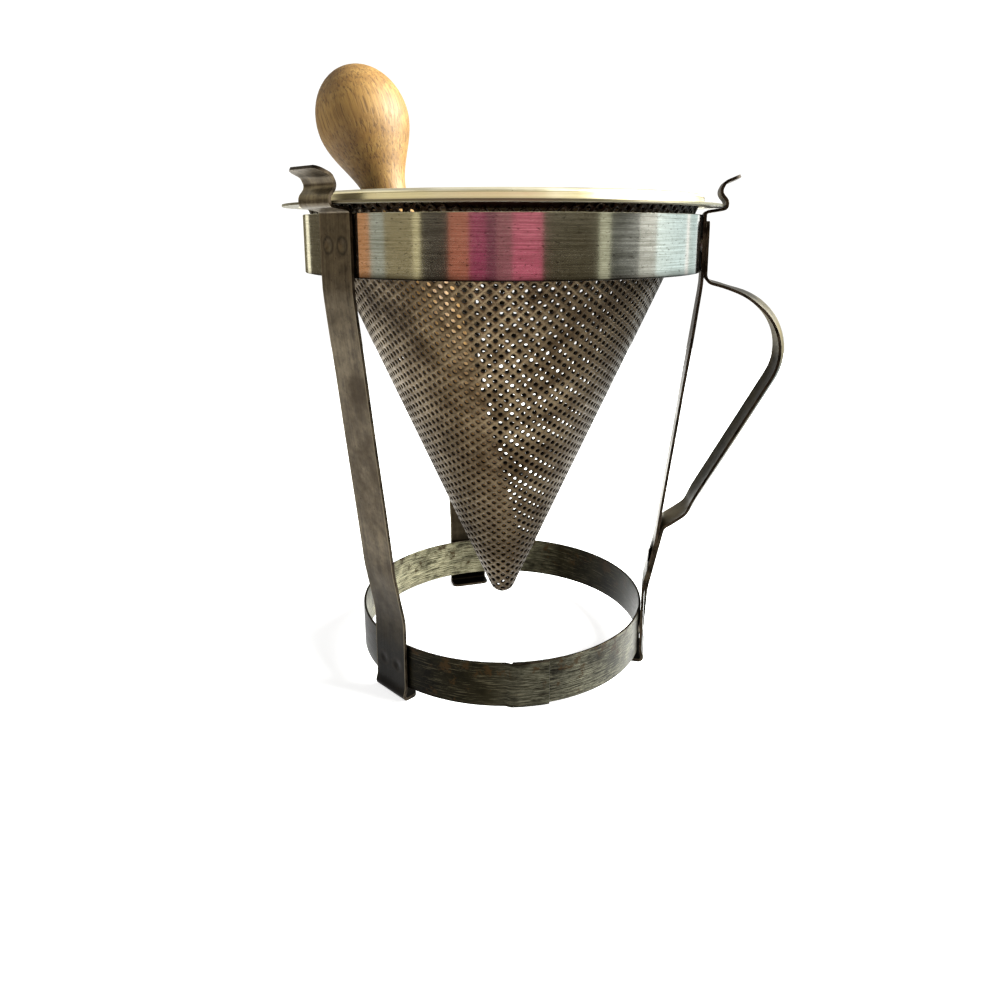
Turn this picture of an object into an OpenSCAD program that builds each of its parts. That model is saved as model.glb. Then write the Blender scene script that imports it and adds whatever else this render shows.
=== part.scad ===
// Cone food mill: a perforated cone hung by its rim in a three-legged strap stand, with a wooden pestle.
// Millimetres, +Z up. The origin is on the floor, on the common axis of the rings and the cone.
// The handle leg stands at +X.

/* [Strap stock] */
// Width of the strap that the legs and the handle are made of
strap_w = 19.5; // [16:0.5:23]
// Thickness of that strap
strap_t = 1.2; // [0.9:0.1:1.6]
// Radius of the rounded corners at the strap's free ends
strap_corner = 3; // [1:0.5:5]

/* [Base ring] */
// Outer diameter of the base ring
ring_d = 130; // [112:1:146]
// Height of the base ring's strap
ring_h = 19; // [14:0.5:24]
// Thickness of the base ring's strap
ring_t = 1; // [0.8:0.1:1.4]
// Gap between the floor and the base ring's lower edge
ring_lift = 5.3; // [4:0.1:8]
// Bearing of the base ring's outer lap end
ring_seam = -62; // [-100:1:-20]

/* [Cup band] */
// Outer diameter of the cup band that holds the tops of the legs
band_d = 167.6; // [160:0.2:172]
// Height of the cup band
band_h = 23; // [18:0.5:28]
// Thickness of the cup band
band_t = 1; // [0.8:0.1:1.4]
// Height of the cup band's top edge above the floor
band_top = 198.5; // [165:0.5:240]
// Bearing of the cup band's outer lap end
band_seam = 84; // [60:1:100]
// Length of the lap of each ring
lap_len = 15; // [12:0.5:18]

/* [Legs] */
// Bearing of the back leg; the handle leg stands at 0
back_turn = 118; // [108:1:128]
// Bearing of the front leg
front_turn = 236; // [226:1:250]
// Length of the foot that is folded inward on the floor
foot_len = 8; // [6:0.5:12]
// Outward kick of the leg between the base ring and the foot
foot_kick = 1.5; // [0:0.1:3]
// Height above the base ring at which the leg leaves the vertical
hip_rise = 11; // [8:0.5:20]
// Height above the base ring at which the lower, steeper slope ends
knee_rise = 32.7; // [28:0.5:45]
// Radial run of the leg between those two heights
knee_run = 4.6; // [3:0.1:6]
// Height below the cup band's top at which the leg turns vertical again
shoulder_drop = 27.5; // [26:0.5:34]

/* [Spring clips] */
// Slope of the clip's shelf, in degrees
shelf_tilt = 9; // [4:1:12]
// Straight height of the pocket beside the flange's edge
pocket_h = 2.9; // [2.6:0.1:4]
// How far the waist's bend line reaches in over the flange's edge
clip_grip = 2.5; // [1.2:0.1:2.8]
// Height of the waist above the pocket
waist_rise = 3.6; // [3.5:0.1:6]
// Radial run of the flared lead-in above the waist
flare_run = 7.6; // [6.5:0.1:8.5]
// Rise of that lead-in, steep at first and then flatter
flare_rise = 6.2; // [5.6:0.1:7]

/* [Handle] */
// How far the upper tab ends below the cup band's top edge
handle_top_drop = 2.5; // [1:0.5:6]
// How far below the cup band's lower edge the handle leaves the leg
handle_leave = 3.7; // [3:0.1:6]
// Downward slope of the handle's top run, in degrees
handle_slope = 14; // [8:1:20]
// Centreline radius of the grip's large bend
handle_bend = 25.7; // [20:0.5:28]
// Lean of the grip's lower straight run from the vertical, in degrees
handle_lean = 28; // [24:1:32]
// Distance from the axis to the heel of the handle, where the grip turns in to the leg
heel_r = 83.9; // [81:0.1:86]
// Height of that heel
heel_z = 71.5; // [70:0.1:76]
// Inward slope of the handle below the heel, in degrees from the horizontal
heel_slope = 31.4; // [26:1:38]
// Distance up the leg's lower slope from the hip to the lower tab's spot welds
tab_weld_rise = 12; // [10:0.5:14]
// Height of the lower tab's end above the base ring
handle_end_rise = 8.7; // [6:0.5:10]
// How far the grip's long edges are dished toward the leg
handle_dish = 2.1; // [0.5:0.1:3]

/* [Cone and rim] */
// Outer diameter of the rim's flat flange
rim_d = 183.6; // [181:0.2:192]
// Height of the rim's bead above the flange's underside
rim_h = 4.9; // [4:0.1:6]
// Outer diameter of the rim's bead
bead_d = 168.6; // [166:0.2:172]
// Width of the bead
bead_w = 3.9; // [3.6:0.1:4.4]
// Thickness of the rim's sheet
rim_t = 1; // [0.8:0.1:1.1]
// Length of the rim's lip that is folded down inside the cone
lip_len = 3; // [2:0.5:5]
// Half angle of the cone
cone_half = 23.8; // [22:0.1:25]
// Thickness of the perforated sheet
sheet_t = 0.8; // [0.6:0.1:1]
// Outer radius of the cone's rounded tip
tip_r = 6; // [4:0.5:8]
// Diameter of a sieve hole
hole_d = 7.4; // [5:0.1:8]
// Least distance between the holes of a row
hole_pitch = 12.8; // [12.6:0.1:18]
// Number of rows of holes
hole_rows = 16; // [8:1:16]

/* [Pestle] */
// Diameter of the pestle's round end
pestle_tip_d = 19.8; // [17:0.2:21]
// Taper of the body's side from the pestle's axis, in degrees; the side lies flat along the cone's wall
body_taper = 3.3; // [2.6:0.1:4.2]
// Length of the tapered body from the round end's centre
body_len = 144; // [130:1:150]
// Diameter of the neck under the knob
neck_d = 18.6; // [16:0.2:21]
// Length from the body's thick end to the neck
neck_len = 30; // [26:1:36]
// Diameter of the egg-shaped knob
knob_d = 42.6; // [38:0.2:48]
// Length of the knob above the neck
knob_len = 64.2; // [58:0.2:70]
// Bearing toward which the pestle leans
pestle_turn = 162; // [0:1:359]

/* [Fits] */
// Gap that the spot welds close between two straps
weld_gap = 0.15; // [0.1:0.05:0.3]
// Running gap between pieces that move
run_gap = 0.3; // [0.2:0.05:0.5]
// Gap between the rim's folded sheet and the cone inside it
clinch_gap = 0.05; // [0.02:0.01:0.1]
// Height of the rim's flange above the clip's shelf at the flange's edge
seat_gap = 0.2; // [0.1:0.05:0.4]
// Diameter of a spot weld
weld_d = 6.4; // [5:0.2:8]
// Distance between the two spot welds of a joint
weld_pitch = 9; // [8.4:0.2:10]
// Depth of the dimple that a spot weld leaves on the outer strap
weld_dimple = 0.35; // [0.1:0.05:0.5]

/* [Hidden] */
$fn = 96;
eps = 0.01;
ring_r = ring_d / 2;
band_r = band_d / 2;
rim_r = rim_d / 2;
ring_mid = ring_lift + ring_h / 2;
band_mid = band_top - band_h / 2;
leg_bend = strap_t * 1.3;
leg_turn = [0, back_turn, front_turn];
// Room between the cup band's top edge and the shelf that the flange rests on
shelf_rise = 0.4;

// Centreline radii of the leg where it passes the two rings, and of the handle's upper tab
leg_low_r = ring_r + weld_gap + strap_t / 2;
leg_high_r = band_r + weld_gap + strap_t / 2;
tab_gap = strap_t + weld_gap;

// The shelf meets the flange's edge, the pocket stands clear of it, and the waist reaches over it
pocket_r = rim_r + run_gap + strap_t / 2;
shelf_z = band_top + shelf_rise + strap_t / 2;
pocket_z = shelf_z + (pocket_r - leg_high_r) * tan(shelf_tilt);
flange_z = pocket_z - (pocket_r - rim_r) * tan(shelf_tilt) + strap_t / 2 / cos(shelf_tilt) + seat_gap;
waist_r = rim_r - clip_grip + strap_t / 2;
waist_z = pocket_z + pocket_h + waist_rise;

// The cone's top edge stands inside the bead, against its outer wall
bead_r = bead_d / 2;
// A touch under half the bead's width, so that the bead keeps a short flat crest
bead_bend = (bead_w - rim_t) / 2 * 0.97;
crest_z = flange_z + rim_h - rim_t / 2;
cone_top_z = crest_z - bead_bend;
cone_top_r = bead_r - rim_t - clinch_gap;

// The cone's apex would lie on the axis at apex_z if the tip were sharp
apex_z = cone_top_z - cone_top_r / tan(cone_half);
ball_z = apex_z + tip_r / sin(cone_half);
tip_join = tip_r * [cos(cone_half), -sin(cone_half)];

function sheet_r(z) = (z - apex_z) * tan(cone_half);
function unit(v) = v / norm(v);
function turned(v) = [-v[1], v[0]];
function crossing(p, u, q, v) = p + u * ((q - p) * turned(v)) / (u * turned(v));

// A bend of radius rad at the corner b of the path a, b, c, as points of its arc
function bend(a, b, c, rad) =
  let (
    u = unit(a - b),
    w = unit(c - b),
    half = acos(u * w) / 2,
    o = b + unit(u + w) * rad / sin(half),
    p = b + u * rad / tan(half) - o,
    start = atan2(p[1], p[0]),
    turn = (180 - 2 * half) * (turned(u) * w > 0 ? -1 : 1),
    steps = max(2, ceil(abs(turn) / 9))
  )
  [for (i = [0:steps]) o + rad * [cos(start + turn * i / steps), sin(start + turn * i / steps)]];

// Centreline of a strip from its corners, each [radius, height, bend radius]
function flat(v) = [v[0], v[1]];
function centreline(corners) = [
  for (i = [0:len(corners) - 1])
    each i == 0 || i == len(corners) - 1
      ? [flat(corners[i])]
      : bend(flat(corners[i - 1]), flat(corners[i]), flat(corners[i + 1]), corners[i][2])
];

// The same line moved sideways by d, to its left for d > 0
function beside(line, d) = [
  for (i = [0:len(line) - 1])
    let (
      u = unit(line[max(i, 1)] - line[max(i, 1) - 1]),
      w = unit(line[min(i + 1, len(line) - 1)] - line[min(i + 1, len(line) - 1) - 1]),
      n = unit(turned(u) + turned(w))
    )
    line[i] + n * d / (n * turned(u))
];
function thick(line, t) =
  let (left = beside(line, t / 2), right = beside(line, -t / 2))
  concat(left, [for (i = [len(right) - 1:-1:0]) right[i]]);
function strip(corners, t) = thick(centreline(corners), t);

// Corners of a leg from the foot's end to the end of the clip's flare
knee = [leg_low_r + knee_run, ring_lift + ring_h + knee_rise];
hip = [leg_low_r, ring_lift + ring_h + hip_rise];
waist = [waist_r, waist_z];
flare_end = waist + [flare_run, flare_rise];
// Where the flare turns from steep to flatter
flare_bend = waist + [flare_run * 0.24, flare_rise * 0.6];
leg_path = [
  [leg_low_r + foot_kick - foot_len, strap_t / 2],
  [leg_low_r + foot_kick, strap_t / 2, leg_bend],
  [leg_low_r, ring_lift, 8],
  [hip[0], hip[1], 30],
  [knee[0], knee[1], 50],
  [leg_high_r, band_top - shoulder_drop, 60],
  [leg_high_r, shelf_z, leg_bend],
  [pocket_r, pocket_z, leg_bend],
  [pocket_r + 0.2, pocket_z + pocket_h, 3],
  [waist[0], waist[1], 3],
  [flare_bend[0], flare_bend[1], 3],
  [flare_end[0], flare_end[1]]
];

// Corners of the handle from the upper tab's end to the lower tab's end
grip_top = [leg_high_r + tab_gap, band_top - band_h - handle_leave];
grip_dir = [cos(handle_slope), -sin(handle_slope)];
grip_low = [-sin(handle_lean), -cos(handle_lean)];
handle_heel = [heel_r, heel_z];
grip_corner = crossing(grip_top, grip_dir, handle_heel, grip_low);
heel_dir = [-cos(heel_slope), -sin(heel_slope)];
tab_side = unit(turned(hip - knee));
tab_high = knee + tab_side * tab_gap;
tab_low = hip + ([1, 0] + tab_side) * tab_gap / (1 + tab_side[0]);
handle_join = crossing(handle_heel, heel_dir, tab_high, unit(tab_low - tab_high));
handle_path = [
  [leg_high_r + tab_gap, band_top - handle_top_drop],
  [grip_top[0], grip_top[1], 4],
  [grip_corner[0], grip_corner[1], handle_bend],
  [handle_heel[0], handle_heel[1], 9],
  [handle_join[0], handle_join[1], 4],
  [tab_low[0], tab_low[1], 30],
  [leg_low_r + tab_gap, ring_lift + ring_h + handle_end_rise]
];

module base_ring() color("dimgray") lapped_ring(ring_r, ring_t, ring_lift, ring_h, ring_seam);
module cup_band() color("silver") lapped_ring(band_r, band_t, band_top - band_h, band_h, band_seam);

// Length of the jog of a lapped ring, in thicknesses of its strap
jog_len = 3.2;

// A strap rolled into a ring whose end is jogged out over its start
module lapped_ring(r, t, z, h, seam) {
  lap = lap_len / r * 180 / PI;
  jog = jog_len * t / r * 180 / PI;
  start = seam - lap;
  middle = r - t / 2;
  turns = 144;
  laps = 6;
  line = [
    for (i = [0:turns]) polar(middle, start + (360 - jog) * i / turns),
    for (i = [0:laps]) polar(middle + t + weld_gap, start + lap * i / laps)
  ];
  translate([0, 0, z]) linear_extrude(h) polygon(thick(line, t));
}
function polar(r, a) = r * [cos(a), sin(a)];

module leg_handle() color("slategray") leg(leg_turn[0], false);
module leg_back() color("slategray") leg(leg_turn[1], true);
module leg_front() color("slategray") leg(leg_turn[2], true);

module leg(turn, open_top) rotate([0, 0, turn]) difference() {
  intersection() {
    side_extrude() polygon(strip(leg_path, strap_t));
    strap_outline(leg_path[0][0], flare_end[0] + strap_t / 2);
  }
  if (open_top) dimples(leg_high_r + strap_t / 2, band_mid);
  dimples(leg_low_r + strap_t / 2, ring_mid);
}

// Turns a profile drawn in radius and height into a strap of full width
module side_extrude() rotate([90, 0, 0]) translate([0, 0, -strap_w / 2]) linear_extrude(strap_w) children();

// The strap seen from above, with its four corners rounded
module strap_outline(from, to) linear_extrude(band_top * 1.5) {
  translate([from + strap_corner, -strap_w / 2]) square([to - from - 2 * strap_corner, strap_w]);
  translate([from, -strap_w / 2 + strap_corner]) square([to - from, strap_w - 2 * strap_corner]);
  for (x = [from + strap_corner, to - strap_corner], s = [-1, 1])
    translate([x, s * (strap_w / 2 - strap_corner)]) circle(strap_corner, $fn = 32);
}

// The pair of shallow round dimples that a spot welder leaves on the outer face of a strap at radius r
module dimples(r, z) {
  ball = (pow(weld_d / 2, 2) + pow(weld_dimple, 2)) / (2 * weld_dimple);
  for (s = [-1, 1])
    translate([r + ball - weld_dimple, s * weld_pitch / 2, z]) sphere(ball);
}

// The handle: flat tabs at both ends, and between them a grip dished along its length
handle_line = centreline(handle_path);
handle_run = [for (i = 0, s = 0; i < len(handle_line);
  s = s + (i + 1 < len(handle_line) ? norm(handle_line[i + 1] - handle_line[i]) : 0), i = i + 1) s];
// The dish begins just below the upper tab, ends just above the lower one, and eases in over dish_ease
grip_from = norm(handle_path[1] - handle_path[0]) * 1.15;
grip_to = handle_run[len(handle_run) - 1] - norm(handle_path[6] - handle_path[4]) * 1.05;
dish_ease = 22;
function ease(x) = x <= 0 ? 0 : x >= 1 ? 1 : (1 - cos(180 * x)) / 2;
function point_at(s) =
  let (
    k = max([for (i = [0:len(handle_run) - 2]) if (handle_run[i] <= s) i]),
    f = (s - handle_run[k]) / (handle_run[k + 1] - handle_run[k])
  )
  handle_line[k] + (handle_line[k + 1] - handle_line[k]) * f;
handle_steps = 56;
handle_sides = 8;
module handle() color("slategray") difference() {
  dished_strap();
  dimples(leg_high_r + tab_gap + strap_t / 2, band_mid);
  along(tab_low, tab_high) dimples(strap_t / 2, tab_weld_rise);
}
// Stands what is drawn along +Z at the point from, and leans it toward the point to
module along(from, to) translate([from[0], 0, from[1]])
  rotate([0, 90 - atan2(to[1] - from[1], to[0] - from[0]), 0]) children();
module dished_strap() {
  last = handle_run[len(handle_run) - 1];
  rings = [
    for (i = [0:handle_steps])
      let (
        s = last * i / handle_steps,
        before = point_at(max(s - 1, 0)),
        after = point_at(min(s + 1, last - eps)),
        n = unit(turned(after - before)),
        dish = handle_dish * ease((s - grip_from) / dish_ease) * ease((grip_to - s) / dish_ease),
        at = point_at(min(s, last - eps))
      )
      [
        for (side = [-1, 1], j = [0:handle_sides])
          let (
            f = side * (2 * j / handle_sides - 1),
            d = side * strap_t / 2 - dish * f * f
          )
          [at[0] + n[0] * d, f * strap_w / 2, at[1] + n[1] * d]
      ]
  ];
  m = 2 * (handle_sides + 1);
  polyhedron(
    points = [for (r = rings) each r],
    faces = concat(
      [for (j = [0:handle_sides - 1]) [j, j + 1, m - 2 - j, m - 1 - j]],
      [for (i = [0:handle_steps - 1], j = [0:m - 1])
        let (a = i * m + j, b = i * m + (j + 1) % m) [b, a, a + m]],
      [for (i = [0:handle_steps - 1], j = [0:m - 1])
        let (b = i * m + (j + 1) % m, c = (i + 1) * m + j) [b, c, b + m]],
      [for (j = [0:handle_sides - 1]) handle_steps * m * [1, 1, 1, 1] + [m - 1 - j, m - 2 - j, j + 1, j]]
    )
  );
}

// Spot welds: each is a short plug that fills the gap between a strap and what it is welded to
module welds_ring() color("darkgray")
  for (turn = leg_turn) ring_plugs(turn, ring_r, ring_mid);
module welds_band() color("darkgray")
  for (turn = leg_turn) ring_plugs(turn, band_r, band_mid);
module ring_plugs(turn, r, z) rotate([0, 0, turn]) difference() {
  for (s = [-1, 1])
    translate([r - 1, s * weld_pitch / 2, z]) rotate([0, 90, 0]) cylinder(d = weld_d, h = 1 + weld_gap);
  translate([0, 0, z - weld_d]) cylinder(r = r, h = 2 * weld_d, $fn = 720);
}
module welds_handle() color("darkgray")
  for (s = [-1, 1]) {
    translate([leg_high_r + strap_t / 2, s * weld_pitch / 2, band_mid]) plug();
    along(hip, knee) translate([strap_t / 2, s * weld_pitch / 2, tab_weld_rise]) plug();
  }
// A plug along +X that fills the gap
module plug() rotate([0, 90, 0]) cylinder(d = weld_d, h = weld_gap);
module welds_laps() color("darkgray") {
  lap_plugs(ring_r, ring_t, ring_lift, ring_h, ring_seam);
  lap_plugs(band_r, band_t, band_top - band_h, band_h, band_seam);
}
module lap_plugs(r, t, z, h, seam) difference() {
  rotate([0, 0, seam - lap_len / 2 / r * 180 / PI])
    for (s = [-1, 1])
      translate([r - t / 2, 0, z + h / 2 + s * h / 4])
        rotate([0, 90, 0]) cylinder(d = weld_d, h = t + weld_gap);
  lapped_ring(r, t, z, h, seam);
}

// The sieve: one sheet, a straight cone that ends in a rounded tip. It is punched in staggered rows, square
// to its wall, with the first row just above the tip and the last just below the flange
module cone_sieve() color("rosybrown") difference() {
  sheet_solid(0, 0);
  sheet_solid(sheet_t, eps);
  sieve_holes();
}
module sheet_solid(inset, over) {
  h = cone_top_z + over - ball_z - tip_join[1];
  low = tip_join[0] - inset * cos(cone_half);
  drop = inset * sin(cone_half);
  translate([0, 0, ball_z + tip_join[1] + drop])
    cylinder(r1 = low, r2 = low + (h - drop) * tan(cone_half), h = h - drop);
  translate([0, 0, ball_z]) sphere(tip_r - inset);
}
module sieve_holes() {
  first = 1.9 * tip_r / tan(cone_half);
  last = sheet_r(flange_z) / sin(cone_half) - 0.8 * hole_d;
  reach = 3 * sheet_t;
  for (k = [0:hole_rows - 1]) {
    slant = first + (last - first) * k / (hole_rows - 1);
    r = slant * sin(cone_half);
    n = floor(2 * PI * r / hole_pitch);
    for (i = [0:n - 1])
      rotate([0, 0, (i + (k % 2) / 2) * 360 / n])
        translate([r, 0, apex_z + slant * cos(cone_half)])
          rotate([0, 90 + cone_half, 0])
            translate([0, 0, -reach]) cylinder(d = hole_d, h = 2 * reach, $fn = 24);
  }
}

// The rim: one sheet with a flat flange, turned up into a bead and folded down inside the cone's top edge
module cone_rim() color("wheat") {
  flange_mid = flange_z + rim_t / 2;
  outer = bead_r - rim_t / 2;
  inner = bead_r - bead_w + rim_t / 2;
  lip = (sheet_t + clinch_gap + rim_t / 2) / cos(cone_half);
  lip_z = apex_z + (inner + lip) / tan(cone_half);
  rotate_extrude($fn = 96)
    polygon(strip([
      [rim_r, flange_mid],
      [outer, flange_mid, rim_t * 0.8],
      [outer, crest_z, bead_bend],
      [inner, crest_z, bead_bend],
      [inner, lip_z, 2 * rim_t],
      [inner - lip_len * sin(cone_half), lip_z - lip_len * cos(cone_half)]
    ], rim_t));
}

// The pestle's body tapers so that its side lies flat along the cone's wall, a running gap away from it,
// and its round end sits that gap away from the wall all round
tip_rad = pestle_tip_d / 2;
pestle_lean = cone_half - body_taper;
inner_apex_z = apex_z + sheet_t / sin(cone_half);
axis_z = inner_apex_z + (tip_rad + run_gap) / sin(cone_half);
body_end_rad = (tip_rad + body_len * sin(body_taper)) / cos(body_taper);
neck_s = body_len + neck_len;
// The egg's greatest girth lies two fifths down from its top
knob_up = knob_len * 0.4;
knob_down = knob_len - knob_up;
neck_steps = 8;
flank_steps = 10;
function between(from, to, x) = from + (to - from) * ease(x);
module pestle() color("burlywood")
  rotate([0, 0, pestle_turn]) translate([0, 0, axis_z]) rotate([0, pestle_lean, 0])
    rotate_extrude($fn = 96)
      polygon(concat(
        [for (a = [-90:10:-10]) tip_rad * [cos(a), sin(a)]],
        [tip_rad * [cos(body_taper), -sin(body_taper)]],
        [for (i = [0:neck_steps])
          [between(body_end_rad, neck_d / 2, i / neck_steps), body_len + neck_len * i / neck_steps]],
        [for (i = [1:flank_steps])
          [between(neck_d / 2, knob_d / 2, i / flank_steps), neck_s + knob_down * i / flank_steps]],
        [for (a = [81:-9:0]) [knob_d / 2 * sin(a), neck_s + knob_down + knob_up * cos(a)]]
      ));

base_ring();
cup_band();
leg_handle();
leg_back();
leg_front();
handle();
welds_ring();
welds_band();
welds_handle();
welds_laps();
cone_sieve();
cone_rim();
pestle();
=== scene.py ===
import math
from bisect import bisect_right

import bmesh
import bpy
from mathutils import Euler, Matrix, Vector, noise


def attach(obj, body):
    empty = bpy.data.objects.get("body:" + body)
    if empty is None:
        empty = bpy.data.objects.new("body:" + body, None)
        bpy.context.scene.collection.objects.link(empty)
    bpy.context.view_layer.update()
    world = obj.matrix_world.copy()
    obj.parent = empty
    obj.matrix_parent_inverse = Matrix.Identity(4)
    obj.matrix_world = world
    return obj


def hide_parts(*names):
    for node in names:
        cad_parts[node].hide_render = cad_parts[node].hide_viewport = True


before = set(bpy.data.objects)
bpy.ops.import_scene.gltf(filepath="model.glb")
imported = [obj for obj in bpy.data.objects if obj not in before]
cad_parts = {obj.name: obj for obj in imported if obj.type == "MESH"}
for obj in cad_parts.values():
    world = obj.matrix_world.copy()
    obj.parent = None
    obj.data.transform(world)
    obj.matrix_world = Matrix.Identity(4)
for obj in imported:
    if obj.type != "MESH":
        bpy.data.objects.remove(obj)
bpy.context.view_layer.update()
print("frame nodes:", ", ".join(sorted(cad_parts)))

# %% [markdown]
# ## Camera and light
# The picture is taken from a hand's height above the table, close enough that the stand's feet splay. The camera
# looks level at the cone and a little down, and its frame is shifted rather than tilted further. The light is a
# pale room: a white floor, a soft sky, a warm lamp behind on the right, weaker ones on the left and above, and
# reflector cards all round, which only polished metal mirrors. Cards are how a product photographer puts colour
# and dark bars into a round band.
# %% Camera
CAMERA_BEARING = -78.8
CAMERA_AWAY = 0.3499
CAMERA_HEIGHT = 0.1927
CAMERA_PITCH = -11.9
CAMERA_YAW = 0.18


def polar(radius, bearing, height=0.0):
    angle = math.radians(bearing)
    return Vector((radius * math.cos(angle), radius * math.sin(angle), height))


camera = bpy.data.objects.new("camera", bpy.data.cameras.new("camera"))
bpy.context.scene.collection.objects.link(camera)
camera.location = polar(CAMERA_AWAY, CAMERA_BEARING, CAMERA_HEIGHT)
camera.rotation_euler = Euler(
    (math.radians(90 + CAMERA_PITCH), 0, math.radians(90 + CAMERA_BEARING + CAMERA_YAW)))
camera.data.lens = 28.46
camera.data.shift_y = -0.104
camera.data.clip_start = 0.01
bpy.context.scene.camera = camera
bpy.context.scene.view_settings.view_transform = "Standard"

# %% [markdown]
# A small helper makes every material: it adds a shader node, sets its options, and links or fills its inputs.
# %% Shader helpers


def new_material(name, **sockets):
    """A material whose shader has these constant values, and the function that adds nodes to it."""
    material = bpy.data.materials.new(name)
    material.use_nodes = True
    shader = material.node_tree.nodes["Principled BSDF"]
    for socket, value in sockets.items():
        shader.inputs[socket.replace("_", " ").title().replace("Ior", "IOR")].default_value = value

    def add(kind, inputs=None, out=0, **settings):
        node = material.node_tree.nodes.new("ShaderNode" + kind)
        for key, value in settings.items():
            setattr(node, key, value)
        for key, value in (inputs or {}).items():
            if isinstance(value, bpy.types.NodeSocket):
                material.node_tree.links.new(value, node.inputs[key])
            else:
                node.inputs[key].default_value = value
        return node.outputs[out]

    def plug(socket, value):
        material.node_tree.links.new(value, shader.inputs[socket])

    return material, add, plug


def stretched(add, coordinates, scale):
    return add("Mapping", {"Vector": coordinates, "Scale": scale})


def grain(add, vector, scale, detail=4.0, roughness=0.55):
    return add("TexNoise", {"Vector": vector, "Scale": scale, "Detail": detail, "Roughness": roughness})


def ranged(add, value, low, high, to_low=0.0, to_high=1.0):
    return add("MapRange", {0: value, 1: low, 2: high, 3: to_low, 4: to_high})


def calc(add, operation, *values):
    return add("Math", dict(enumerate(values)), operation=operation, use_clamp=operation != "ABSOLUTE")


def blend(add, amount, first, second):
    return add("Mix", {0: amount, 6: first, 7: second}, out=2, data_type="RGBA")


def bumped(add, plug, height, strength, depth):
    plug("Normal", add("Bump", {"Height": height, "Strength": strength, "Distance": depth}))


def colour(red, green, blue):
    """A colour as it looks on a screen, from 0 to 255, in the shader's linear values."""
    return tuple((part / 255) ** 2.2 for part in (red, green, blue)) + (1.0,)


# %% Floor
def plain_mesh(bm, name):
    mesh = bpy.data.meshes.new(name)
    bm.to_mesh(mesh)
    bm.free()
    thing = bpy.data.objects.new(name, mesh)
    bpy.context.scene.collection.objects.link(thing)
    return thing


floor_bm = bmesh.new()
bmesh.ops.create_circle(floor_bm, cap_ends=True, segments=96, radius=1.0)
floor = plain_mesh(floor_bm, "floor")
floor_paint, add, plug = new_material("floor_paint", roughness=0.8, emission_strength=0.75)
plug("Base Color", blend(add, grain(add, add("TexCoord", out=3), 30), colour(243, 243, 242), colour(247, 247, 246)))
floor.data.materials.append(floor_paint)

# %% Sky, lamps and cards
world = bpy.data.worlds.new("studio")
world.use_nodes = True
bpy.context.scene.world = world
SKY_SEEN = 1.1
SKY_LIGHT = 0.14
SKY_GLOSS = 0.4
sky = world.node_tree.nodes["Background"]


def add_sky(kind, inputs):
    """Adds a node to the sky; a value that is a socket is linked."""
    node = world.node_tree.nodes.new("ShaderNode" + kind)
    for key, value in inputs.items():
        if isinstance(value, bpy.types.NodeSocket):
            world.node_tree.links.new(value, node.inputs[key])
        else:
            node.inputs[key].default_value = value
    return node


sky_path = add_sky("LightPath", {})
sky_unseen = add_sky("MapRange", {0: sky_path.outputs["Is Glossy Ray"], 3: SKY_LIGHT, 4: SKY_GLOSS}).outputs[0]
sky_level = add_sky("MapRange", {0: sky_path.outputs["Is Camera Ray"], 3: sky_unseen, 4: SKY_SEEN}).outputs[0]
world.node_tree.links.new(sky_level, sky.inputs["Strength"])
sky.inputs["Color"].default_value = (1.0, 0.995, 0.98, 1)


def lamp(name, place, size, power, tint):
    light = bpy.data.lights.new(name, "AREA")
    light.shape = "DISK"
    light.size = size
    light.energy = power
    light.color = tint
    thing = bpy.data.objects.new(name, light)
    bpy.context.scene.collection.objects.link(thing)
    thing.location = place
    thing.rotation_euler = (Vector((0, 0, 0.13)) - Vector(place)).to_track_quat("-Z", "Y").to_euler()


lamp("key_lamp", (1.15, 0.2, 0.8), 1.0, 108, (0.98, 1.0, 0.98))
lamp("left_lamp", (-1.0, -0.3, 1.0), 0.9, 1.5, (0.97, 0.98, 1.0))
lamp("top_lamp", (0.1, 0.3, 1.5), 1.3, 3, (1.0, 1.0, 1.0))

CARD_AWAY = 0.8
CARD_INNER = 0.24
ON_FLOOR_FROM = -42
CARD_LOW = 0.001
CARD_HIGH = 0.27
CREAM_HIGH = 0.75
CARD_GLOW = 1.55
# Each card: where it begins and ends, in degrees to the right of the camera, and its colour
CARDS = [
    (-160, -142, colour(84, 76, 50)),
    (-142, -134, colour(244, 238, 208)),
    (-134, -83.5, colour(70, 62, 42)),
    (-83.5, -72.5, colour(172, 120, 78)),
    (-72.5, -63, colour(142, 146, 136)),
    (-63, -46, colour(124, 113, 81)),
    (-46, -42, colour(192, 182, 140)),
    (-42, -27, colour(38, 27, 9)),
    (-27, -16.5, colour(152, 84, 64)),
    (-16.5, -8, colour(134, 44, 78)),
    (-8, -3, colour(102, 38, 61)),
    (-3, 5, colour(130, 72, 82)),
    (5, 20, colour(175, 80, 104)),
    (20, 50, colour(60, 53, 35)),
    (50, 56.5, colour(174, 175, 152)),
    (56.5, 75, colour(60, 62, 58)),
    (75, 88, colour(150, 152, 146)),
    (88, 118, colour(206, 226, 229)),
    (118, 122, colour(255, 255, 255)),
    (122, 136, colour(186, 204, 204)),
    (136, 150, colour(252, 255, 255)),
]


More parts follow.
